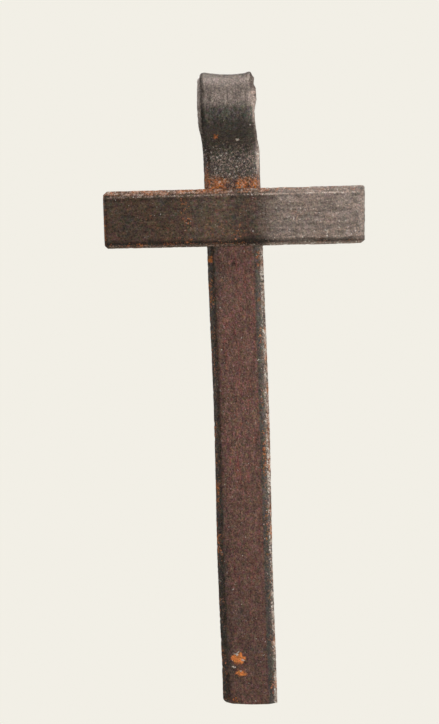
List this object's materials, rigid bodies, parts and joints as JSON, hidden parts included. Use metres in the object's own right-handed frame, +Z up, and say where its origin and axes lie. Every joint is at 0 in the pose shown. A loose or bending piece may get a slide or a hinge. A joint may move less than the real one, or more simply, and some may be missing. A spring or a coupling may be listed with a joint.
{
  "type": "wrought iron hanging cross",
  "caption": "Small forged iron cross: a flat upright rolled into a hanging eye at its top, with a flat crossbar lying across its front, dark with rust.",
  "frame": {"origin": "centre of the hole in the hanging eye", "axes": "+Z up along the upright, +X to the right along the eye's hole, -Y to the front, where the crossbar lies"},
  "size_m": [0.0754, 0.0122, 0.1826],
  "materials": {
    "upright_iron": "hand-forged iron, red-brown patina with dark edges, orange rust spots and worn bright corners",
    "crossbar_iron": "hand-forged iron, dark grey-brown scale with a soft sheen, fine hammer lines and rusty edges"
  },
  "bodies": {
    "root": {"upright": "upright_iron", "crossbar": "crossbar_iron"}
  },
  "joints": []
}
